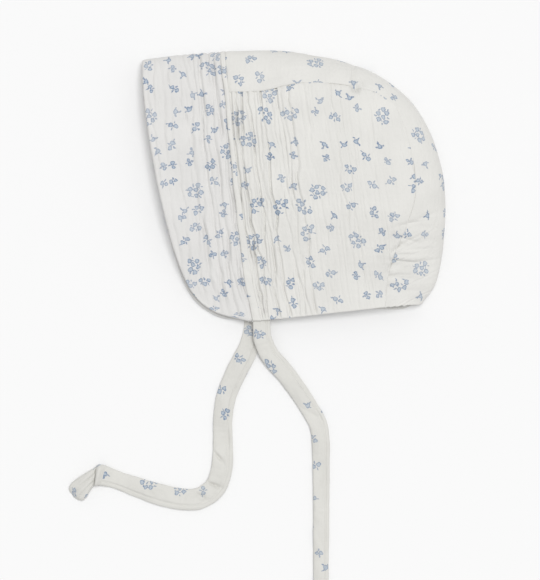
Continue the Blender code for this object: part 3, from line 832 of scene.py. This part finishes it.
def gauze(name, colour, settings, shift, spread):
    """Double cotton gauze, woven loosely, washed to a crinkle and printed with sprigs.
    Matt, with a faint bloom of loose fibres at grazing light."""
    material = bpy.data.materials.new(name)
    material.use_nodes = True
    tree = material.node_tree
    shader = tree.nodes["Principled BSDF"]
    flat = add(tree, "UVMap", (), uv_map="cloth")[0]
    scaled = add(tree, "VectorMath", {0: flat, "Scale": 1000.0}, operation="SCALE")[0]
    place = add(tree, "VectorMath", (scaled, (*shift, 0)), operation="ADD")[0]
    wobble = add(tree, "TexNoise", {"Vector": place, "Scale": 0.5, "Detail": 1.0},
                 noise_dimensions="2D")["Color"]
    push = add(tree, "VectorMath", (wobble, (0.5, 0.5, 0.5)), operation="SUBTRACT")[0]
    drawn = add(tree, "VectorMath", (push, (1.5, 1.5, 0.0), place),
                operation="MULTIPLY_ADD")[0]
    line, wash = print_masks(tree, drawn, settings, spread)
    outside = add(tree, "Attribute", (), attribute_name="printed")["Fac"]

    mottle = add(tree, "TexNoise", {"Vector": place, "Scale": 0.05, "Detail": 3.0}, noise_dimensions="2D")
    shade = add(tree, "MapRange", (mottle[0], 0.3, 0.7, 0.0, 1.0))[0]
    deep = tuple(c * 0.955 for c in colour)
    cloth = add(tree, "Mix", {0: shade, 6: (*deep, 1), 7: (*colour, 1)}, data_type="RGBA")[2]
    wash = add(tree, "Math", (wash, outside), operation="MULTIPLY")[0]
    pale = add(tree, "Math", (wash, settings.wash_strength), operation="MULTIPLY")[0]
    washed = add(tree, "Mix", {0: pale, 6: cloth, 7: (*settings.wash_colour, 1)}, data_type="RGBA")[2]
    faded = add(tree, "TexNoise", {"Vector": place, "Scale": 1.6, "Detail": 2.0}, noise_dimensions="2D")
    worn = add(tree, "MapRange", (faded[0], 0.32, 0.62, 0.5, 1.0))[0]
    line = add(tree, "Math", (line, outside), operation="MULTIPLY")[0]
    inked = add(tree, "Math", (line, worn), operation="MULTIPLY")[0]
    printed = add(tree, "Mix", {0: inked, 6: washed, 7: (*settings.ink_colour, 1)},
                  data_type="RGBA")[2]
    tree.links.new(printed, shader.inputs["Base Color"])

    threads = []
    for direction in ("X", "Y"):
        inputs = {"Vector": place, "Scale": WAVE_PERIOD / settings.thread_pitch, "Distortion": 0.6,
                  "Detail": 1.0, "Detail Scale": 0.4}
        wave = add(tree, "TexWave", inputs, wave_type="BANDS", bands_direction=direction)
        threads.append(wave["Fac"])
    weave = add(tree, "Math", (threads[0], threads[1]), operation="MULTIPLY")[0]
    crepe_place = add(tree, "VectorMath", (place, (0.9, 0.35, 1.0)), operation="MULTIPLY")[0]
    crepe = add(tree, "TexNoise", {"Vector": crepe_place, "Scale": 0.55, "Detail": 3.0, "Roughness": 0.6},
                noise_dimensions="2D")[0]
    height = add(tree, "Math", (crepe, 5.0, weave), operation="MULTIPLY_ADD")[0]
    bumped = add(tree, "Bump", {"Height": height, "Distance": 0.00012, "Strength": 0.55})[0]
    tree.links.new(bumped, shader.inputs["Normal"])
    shader.inputs["Roughness"].default_value = settings.roughness
    shader.inputs["IOR"].default_value = 1.47
    shader.inputs["Specular IOR Level"].default_value = 0.25
    shader.inputs["Sheen Weight"].default_value = settings.sheen
    shader.inputs["Sheen Roughness"].default_value = 0.5
    return material


def colour_setting(name, description, shade):
    """A colour that a user can change, at first the hex value given."""
    return bpy.props.FloatVectorProperty(
        name=name, description=description, subtype="COLOR", size=3, min=0, max=1, default=linear(shade))


class BonnetSettings(bpy.types.PropertyGroup):
    brim_colour: colour_setting("Brim", "Colour of the brim's gauze", "#dbdad8")
    body_colour: colour_setting("Body", "Colour of the body's gauze", "#dddcd8")
    tie_colour: colour_setting("Ties", "Colour of the ties' gauze", "#d6d5d0")
    ink_colour: colour_setting("Ink", "Colour of the sprigs' lines", "#60799a")
    wash_colour: colour_setting("Wash", "Colour inside the blossoms", "#98aabd")
    wash_strength: bpy.props.FloatProperty(
        name="Wash strength", description="How much the blossoms are filled", default=0.7, min=0, max=1)
    sprig_spacing: bpy.props.FloatProperty(
        name="Sprig spacing", description="Millimetres between sprigs", default=12.6, min=8)
    medium_room: bpy.props.FloatProperty(
        name="Medium room", description="Millimetres of clear cloth round a medium sprig's middle",
        default=4.6, min=0)
    large_room: bpy.props.FloatProperty(
        name="Large room", description="Millimetres of clear cloth round a large sprig's middle",
        default=5.8, min=0)
    crinkle_pitch: bpy.props.FloatProperty(
        name="Crinkle pitch", description="Distance between creases of the gauze", default=0.0024,
        min=0.001, subtype="DISTANCE", unit="LENGTH")
    crinkle_depth: bpy.props.FloatProperty(
        name="Crinkle depth", description="Depth of the deepest creases", default=0.0009,
        min=0, subtype="DISTANCE", unit="LENGTH")
    thread_pitch: bpy.props.FloatProperty(
        name="Thread pitch", description="Millimetres between threads, drawn coarser than real to show",
        default=0.8, min=0.2)
    roughness: bpy.props.FloatProperty(
        name="Roughness", description="Roughness of the cotton", default=0.88, min=0, max=1)
    sheen: bpy.props.FloatProperty(
        name="Sheen", description="Bloom of loose fibres", default=0.15, min=0, max=1)


class BONNET_OT_stage(bpy.types.Operator):
    """Adds the pale floor, the soft light and the camera above the bonnet"""
    bl_idname = "bonnet.stage"
    bl_label = "Stage"

    def execute(self, context):
        mesh = bmesh.new()
        bmesh.ops.create_grid(mesh, x_segments=1, y_segments=1, size=3.0)
        paper = bpy.data.materials.new("white studio paper")
        paper.use_nodes = True
        shader = paper.node_tree.nodes["Principled BSDF"]
        shader.inputs["Base Color"].default_value = (*linear("#ededed"), 1)
        shader.inputs["Roughness"].default_value = 1.0
        shader.inputs["Specular IOR Level"].default_value = 0.0
        add_object("floor", mesh, paper)

        world = bpy.data.worlds.new("soft studio")
        world.use_nodes = True
        background = world.node_tree.nodes["Background"].inputs
        background["Color"].default_value = (1, 1, 1, 1)
        background["Strength"].default_value = 0.57
        context.scene.world = world

        lamp = bpy.data.lights.new("far softbox", "SUN")
        lamp.angle = math.radians(28)
        lamp.energy = 1.80
        softbox = bpy.data.objects.new("far softbox", lamp)
        softbox.location = (0.38, 0.42, 2.5)
        softbox.rotation_euler = softbox.location.to_track_quat("Z", "Y").to_euler()
        context.collection.objects.link(softbox)

        lens = bpy.data.cameras.new("camera")
        lens.sensor_width = 36
        lens.lens = 36 * CAMERA_HEIGHT / VIEW_HEIGHT
        camera = bpy.data.objects.new("camera", lens)
        camera.location = (*VIEW_MIDDLE, CAMERA_HEIGHT)
        context.collection.objects.link(camera)
        context.scene.camera = camera
        context.scene.view_settings.view_transform = "Standard"
        context.scene.view_settings.look = "None"
        return {"FINISHED"}


class BONNET_OT_ties(bpy.types.Operator):
    """Adds the two flat cloth ties with the knot on each one's end"""
    bl_idname = "bonnet.ties"
    bl_label = "Ties"

    def execute(self, context):
        settings = context.scene.bonnet
        material = gauze("tie gauze", tuple(settings.tie_colour), settings, (140.0, 60.0), 1.35)
        ties = (
            ("near", NEAR_TIE_ROUTE, NEAR_TIE_WIDTHS, NEAR_TIE_FOLDS, 1),
            ("far", FAR_TIE_ROUTE, FAR_TIE_WIDTHS, FAR_TIE_FOLDS, -1),
        )
        for side, route, width_table, fold_table, turn in ties:
            way = np.array(route) + (*TIE_EXIT, 0)
            knot = self.add_knot(side, way, turn, material)
            tie, middles = self.add_tie(side, way, width_table, fold_table, material)
            way_lengths(middles)[-1]
        return {"FINISHED"}

    def add_tie(self, side, way, width_table, fold_table, material):
        """One tie, and the points of its middle line."""
        inside = way[0] + (way[0] - way[1]) * TIE_HIDDEN - (0, 0, 0.0006 if side == "near" else 0)
        middles = smooth_rows(np.vstack((inside, way)), np.linspace(0, 1, TIE_STEPS + 1))
        lengths = way_lengths(middles)
        sides = np.cross(np.gradient(middles, axis=0), (0, 0, 1))
        sides /= np.linalg.norm(sides, axis=1)[:, None]
        widths = straight_rows(width_table, lengths / lengths[-1]) * TIE_WIDTH
        uneven = 1 + 0.035 * soft_noise(lengths / 0.009, 0.5, 81)
        widths *= uneven + 0.02 * soft_noise(lengths / 0.003, 0.5, 82)
        to_knot = lengths[-1] - lengths
        walls = TIE_WALL * mix(KNOT_SECTIONS[0][-1] * KNOT_HEIGHT / TIE_WALL, 1.0, ease(to_knot, 0.0, 0.008))
        if side == "far":
            walls *= mix(0.45, 1.0, ease(lengths, 0.010, 0.034))
            middles[:, 2] = walls / 2
        middles[:, 2] = np.maximum(middles[:, 2], walls / 2)

        def dents(along, sideways):
            half = np.interp(along[:, 0], lengths, widths)[:, None] / 2
            seat = 0.0010 * bump(sideways - FOLD_LINE * half, 0.0004)
            seat += 0.0003 * ease(-sideways, -FOLD_LINE * half, -FOLD_LINE * half + 0.0008)
            ripple = 0.0008 * soft_noise(along / 0.008, sideways / 0.006, 5)
            ripple = ripple + 0.00015 * soft_noise(along / 0.0017, sideways / 0.003, 6)
            return seat + ripple + folds(np.dstack((along, sideways)), fold_table)

        name = f"gauze_tie_{side}"
        tie = add_strap(name, middles, sides, widths, walls, dents, material, TIE_CUTS[side])
        return dress(tie, f"tie_{side}"), middles

    def add_knot(self, side, way, turn, material):
        """The knot on a tie's end, with its short tail."""
        before, end = way[-2:]
        onward = (end - before) * (1, 1, 0)
        onward /= np.linalg.norm(onward)
        sideways = np.cross(onward, (0, 0, 1)) * turn
        rows = smooth_rows(KNOT_SECTIONS, np.linspace(0, 1, KNOT_STEPS + 1))
        walls = rows[:, 4] * KNOT_HEIGHT
        reach = rows[:, 0] * KNOT_LENGTH - KNOT_LAP
        middles = end * (1, 1, 0) + reach[:, None] * onward + rows[:, 1:2] * KNOT_LENGTH * sideways
        middles[:, 2] = walls / 2
        angle = np.radians(rows[:, 2:3])
        sides = (np.cos(angle) * sideways - np.sin(angle) * onward) * turn
        crease = np.interp(KNOT_CREASE, rows[:, 0], way_lengths(middles))

        def dents(along, beside):
            wrap = 0.0022 * bump(along - crease - 0.0005 * soft_noise(beside / 0.003, 0.5, 91), 0.00042)
            tail = ease(along - crease, 0.0, 0.003)
            pleat = 0.0012 * bump(beside * turn + 0.0012, 0.0008) * tail
            pleat = pleat + 0.0009 * bump(beside * turn - 0.0026, 0.0007) * tail
            ripple = 0.0006 * soft_noise(along / 0.0045, beside / 0.0035, 92)
            return wrap + pleat + ripple

        widths = rows[:, 3] * TIE_WIDTH
        name = f"gauze_knot_{side}"
        knot = add_strap(name, middles, sides, widths, walls, dents, material, KNOT_CUTS[side])
        return dress(knot, f"tie_{side}_knot")


class BONNET_OT_brim(bpy.types.Operator):
    """Adds the wide double brim that runs from tie to tie round the face"""
    bl_idname = "bonnet.brim"
    bl_label = "Brim"

    def execute(self, context):
        settings = context.scene.bonnet
        material = gauze("brim gauze", tuple(settings.brim_colour), settings, (0.0, 0.0), 0.90)
        across = edged(np.linspace(0, 1, BRIM_ACROSS_STEPS), BRIM_REACH, BRIM_WALL)
        down = down_places()
        near_plan, far_plan = brim_plan(across, down, True), brim_plan(across, down, False)
        points = np.vstack((skin(near_plan, True)[::-1], skin(far_plan, False)[1:]))
        to_face = np.vstack([curve_distance(plan, brim_plan(across[:1], CURVE_SHARES, near)[:, 0])
                             for plan, near in ((near_plan[::-1], True), (far_plan[1:], False))])
        place = np.concatenate((down[::-1], down[1:]))[:, None]
        runs = edge_runs(points)
        along = runs[0] - runs[0][len(down) - 1]
        to_seam = runs[3]
        edge = np.minimum.reduce((*runs, to_face))
        depth = np.zeros(points.shape[:2])
        for number, (middle, half_width, share, length) in enumerate(BRIM_CREASES):
            fade = 1 - ease(place, length - 0.25, length)
            wave = 0.016 * soft_noise(along / 0.011, number * 3.1, 3)
            wave = wave + 0.006 * soft_noise(along / 0.004, number * 3.1, 4)
            depth += share * BRIM_WALL * np.exp(-np.abs(across[None] - middle + wave) / half_width) * fade
        fine = creases(to_seam, along, BRIM_CREASED, settings.crinkle_pitch, 11)
        strength = mix(0.75, 0.22, ease(to_seam, 0.010, 0.030))
        ribs = creases(to_seam, along, BRIM_CREASED, 2.1 * settings.crinkle_pitch, 14)
        strong = mix(2.8, 1.0, ease(to_seam, 0.012, 0.034))
        height = (0.8 * fine * strength + ribs * strong) * settings.crinkle_depth - depth - pinches(points)
        height += 0.0004 * soft_noise(along / 0.022, to_seam / 0.016, 21)
        height *= above_surface(points) * ease(to_face, 0.0, 0.002) * past_fold(points)
        seam_depth = 0.0009 + 0.0008 * np.clip(soft_noise(along / 0.014, 0.5, 22) * 1.6, -0.8, 1)
        height += sewn_edge(to_seam, seam_depth * mix(1.0, 0.45, ease(place, 0.60, 0.92)))
        points = relief(points, height)
        flat = np.dstack((BRIM_CUT[0] - to_seam, along + BRIM_CUT[1]))
        brim = add_cloth("gauze_brim", points, flat, edge, BRIM_WALL, material)
        dress(brim, "brim")
        return {"FINISHED"}


class BONNET_OT_welt(bpy.types.Operator):
    """Adds the narrow raised strip in the seam between brim and body"""
    bl_idname = "bonnet.welt"
    bl_label = "Welt"

    def execute(self, context):
        settings = context.scene.bonnet
        material = gauze("welt gauze", tuple(settings.body_colour), settings, (61.0, 0.0), 1.0)
        seam = brim_seam(smooth_rows(BRIM_SECTIONS, down_places()))
        across = (edged(np.linspace(0, 1, 9), WELT_WIDTH, WELT_WALL / 2) - 0.5) * 2
        plan = np.repeat(seam[:, None], len(across), axis=1)
        plan[..., 0] += across * half_welt(seam[:, 1])[:, None]
        plan[0, :, 1] = np.interp(plan[0, :, 0], *TOP_FOLD.T)
        points = np.vstack((skin(plan, True)[::-1], skin(plan, False)[1:]))
        crown = np.sqrt(1 - (across * 0.9) ** 2)
        along = run_lengths(points, 0)
        stand = crown * WELT_STAND * (0.8 + 0.4 * soft_noise(along / 0.012, 0.5, 7))
        stand += 0.00025 * soft_noise(along / 0.004, across[None] * 1.2, 8)
        points = relief(points, stand * above_surface(points))
        flat = np.dstack((across[None] * WELT_WIDTH / 2 + 0.0 * along, along))
        edge = np.minimum.reduce(edge_runs(points))
        welt = add_cloth("gauze_welt", points, flat, edge, WELT_WALL, material)
        dress(welt, "brim_welt")
        return {"FINISHED"}


class BONNET_OT_crown_band(bpy.types.Operator):
    """Adds the band that wraps round the fold from the brim to the nape"""
    bl_idname = "bonnet.crown_band"
    bl_label = "Crown band"

    def execute(self, context):
        settings = context.scene.bonnet
        material = gauze("band gauze", tuple(settings.body_colour), settings, (37.0, 83.0), 1.25)
        front = np.linspace(0, GATHERS_FROM, BAND_FRONT_STEPS + 1)[:-1]
        back = np.linspace(GATHERS_FROM, 1, BAND_NAPE_STEPS + 1)
        places = edged(np.append(front, back), BAND_REACH, PANEL_WALL)
        fold, seam = band_edges(places)
        share = np.linspace(0, 1, BAND_ACROSS_STEPS) ** 1.6
        share = np.append(share[:-1], 1 - np.array((0.014, 0.007, 0.002, 0.0)))
        plan = fold[:, None] + (seam - fold)[:, None] * share[None, :, None]
        under_welt = seam_x(plan[0, :, 1]) + half_welt(plan[0, :, 1]) - PANEL_LAP - plan[0, :, 0]
        plan[..., 0] += under_welt * (1 - ease(places, 0.0, 0.04))[:, None]
        first = places < 0.04
        plan[first, 0, 1] = np.interp(plan[first, 0, 0], *TOP_FOLD.T)
        from_fold = np.linalg.norm(plan - fold[:, None], axis=2)
        nape = ease(places, 0.93, 1.0)[:, None] * ease(from_fold, 0.0, 0.012)
        near, far = plan.copy(), plan.copy()
        near[..., 1] += nape * nape_wave(near[..., 0])
        far[..., 1] -= nape ** 2 * nape_peek(far[..., 0])
        points = np.hstack((skin(far, False)[:, ::-1], skin(near, True)[:, 1:]))
        runs = edge_runs(points)
        towards_seam = np.concatenate((np.zeros(len(share) - 1), share))[None]
        along = runs[0]
        height = np.zeros(points.shape[:2])
        ripple = 0.008 * soft_noise(towards_seam * 3, places[:, None] * 30, 31)
        for place, half_width, gather in NAPE_GATHERS:
            dip = bump(places[:, None] - place + ripple, 0.8 * half_width)
            height -= 1.3 * gather * PANEL_WALL * dip * towards_seam
        gathered = ease(places[:, None], GATHERS_FROM, 0.82) * (0.3 + 0.7 * towards_seam)
        height += creases(along, runs[3], 0.26, 0.0034, 43) * settings.crinkle_depth * gathered
        height += creases(runs[3], along, 0.05, settings.crinkle_pitch, 41) * settings.crinkle_depth * 0.3
        height += 0.0004 * soft_noise(along / 0.013, runs[3] / 0.013, 42) - pinches(points)
        height *= above_surface(points)
        valley = seam_valley(places)[:, None]
        height -= valley * np.exp(-runs[3] / 0.0009)
        height -= valley * 0.5 * np.exp(-runs[2] / 0.0009)
        height += sewn_edge(runs[0], 0.0004)
        points = relief(points, height)
        outward = (fold - seam) / np.linalg.norm(fold - seam, axis=1)[:, None]
        flat = seam[:, None] + outward[:, None] * runs[3][..., None]
        edge = np.minimum.reduce(edge_runs(points))
        band = add_cloth("gauze_crown_band", points, flat, edge, PANEL_WALL, material)
        dress(band, "crown_band")
        return {"FINISHED"}


class BONNET_OT_side_panels(bpy.types.Operator):
    """Adds the near and the far side panel between brim, crown band and neck"""
    bl_idname = "bonnet.side_panels"
    bl_label = "Side panels"

    def execute(self, context):
        settings = context.scene.bonnet
        material = gauze("panel gauze", tuple(settings.body_colour), settings, (0.0, 0.0), 1.1)
        self.add_near(settings, material)
        self.add_far(material)
        return {"FINISHED"}

    def add_near(self, settings, material):
        """The near panel, gathered beside the welt and at the nape."""
        columns = edged(np.linspace(0, 1, PANEL_COLUMNS) ** 1.08, PANEL_REACH, PANEL_WALL) * PANEL_LAST
        rows = edged(np.linspace(0, 1, PANEL_ROWS), PANEL_HEIGHT, PANEL_WALL)
        plan, width = panel_plan(columns, rows)
        plan[..., 1] += nape_wave(plan[..., 0]) * (1 - ease(rows, 0.0, 0.12))[:, None]
        points = skin(plan, True)
        runs = edge_runs(points)
        across = np.broadcast_to(columns * width, points.shape[:2])
        along = plan[..., 1]
        fine = creases(across, along, width, settings.crinkle_pitch, 51)
        broad = creases(across, along, width, 1.6 * settings.crinkle_pitch, 73)
        broad = broad * mix(2.9, 0.55, ease(across, 0.012, 0.055))
        strength = mix(1.0, 0.6, ease(across, 0.026, 0.058))
        strength *= 0.62 + 0.38 * soft_noise(across / 0.007, along / 0.045, 52)
        crosswise = creases(along + 0.09, across, 0.18, 0.0052, 56)
        low = ease(across, 0.05, 0.075) * (1 - ease(along, -0.045, 0.0))
        height = (fine * strength + broad + crosswise * (0.12 + 0.25 * low)) * settings.crinkle_depth
        height += 0.0006 * soft_noise(across / 0.026, along / 0.034, 53)
        height += 0.0002 * soft_noise(across / 0.007, along / 0.009, 54)
        height -= pinches(points)
        on_neck = plan[0, :, 0] < NECK[-1, 0]
        to_neck = np.where(on_neck, runs[0], 1.0)
        height *= ease(to_neck, 0.0, 0.0025)
        height -= 0.0003 * bump(to_neck - 0.0016, 0.0004)
        to_band = curve_distance(plan, panel_reach()[0])
        edge = np.minimum.reduce((*runs, to_band))
        beside = np.interp(plan[..., 0], BAND_SEAM[:BACK_OF_SEAM, 0], CURVE_SHARES[:BACK_OF_SEAM])
        height += sewn_edge(to_band, seam_valley(beside) * ease(along, -0.045, -0.005))
        height += sewn_edge(runs[2], 0.00012 + 0.0001 * soft_noise(along / 0.012, 0.5, 55))
        points = relief(points, height)
        flat = np.dstack((across, along)) + NEAR_PANEL_CUT
        panel = add_cloth("gauze_side_panel_near", points, flat, edge, PANEL_WALL, material)
        dress(panel, "side_panel_near")

    def add_far(self, material):
        """The far panel, which lies flat on the surface."""
        columns = np.sin(np.linspace(0, math.pi / 2, FAR_PANEL_COLUMNS))
        columns = edged(columns, PANEL_REACH, PANEL_WALL) * PANEL_LAST
        rows = edged(np.linspace(0, 1, FAR_PANEL_ROWS), PANEL_HEIGHT, PANEL_WALL)
        plan, width = panel_plan(columns, rows)
        plan[..., 1] -= nape_peek(plan[..., 0]) * (1 - ease(rows, 0.0, 0.15))[:, None]
        points = skin(plan, False)[:, ::-1]
        across = np.broadcast_to(columns[::-1] * width, points.shape[:2])
        along = plan[:, ::-1, 1]
        flat = np.dstack((across, along)) + FAR_PANEL_CUT
        edge = np.minimum.reduce(edge_runs(points))
        panel = add_cloth("gauze_side_panel_far", points, flat, edge, PANEL_WALL, material)
        dress(panel, "side_panel_far")


class BONNET_PT_panel(bpy.types.Panel):
    bl_label = "Baby Bonnet"
    bl_idname = "BONNET_PT_panel"
    bl_space_type = "VIEW_3D"
    bl_region_type = "UI"
    bl_category = "Bonnet"

    def draw(self, context):
        settings = context.scene.bonnet
        for name in BonnetSettings.__annotations__:
            self.layout.prop(settings, name)
        for operator in OPERATORS:
            self.layout.operator(operator.bl_idname)


OPERATORS = (
    BONNET_OT_stage, BONNET_OT_ties, BONNET_OT_brim, BONNET_OT_welt, BONNET_OT_crown_band,
    BONNET_OT_side_panels,
)
CLASSES = (BonnetSettings, *OPERATORS, BONNET_PT_panel)


def register():
    for item in CLASSES:
        bpy.utils.register_class(item)
    bpy.types.Scene.bonnet = bpy.props.PointerProperty(type=BonnetSettings)


def unregister():
    del bpy.types.Scene.bonnet
    for item in reversed(CLASSES):
        bpy.utils.unregister_class(item)


def main():
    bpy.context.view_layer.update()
    register()
    bpy.ops.bonnet.stage()
    bpy.ops.bonnet.ties()
    bpy.ops.bonnet.brim()
    bpy.ops.bonnet.welt()
    bpy.ops.bonnet.crown_band()
    bpy.ops.bonnet.side_panels()


if __name__ == "__main__":
    main()
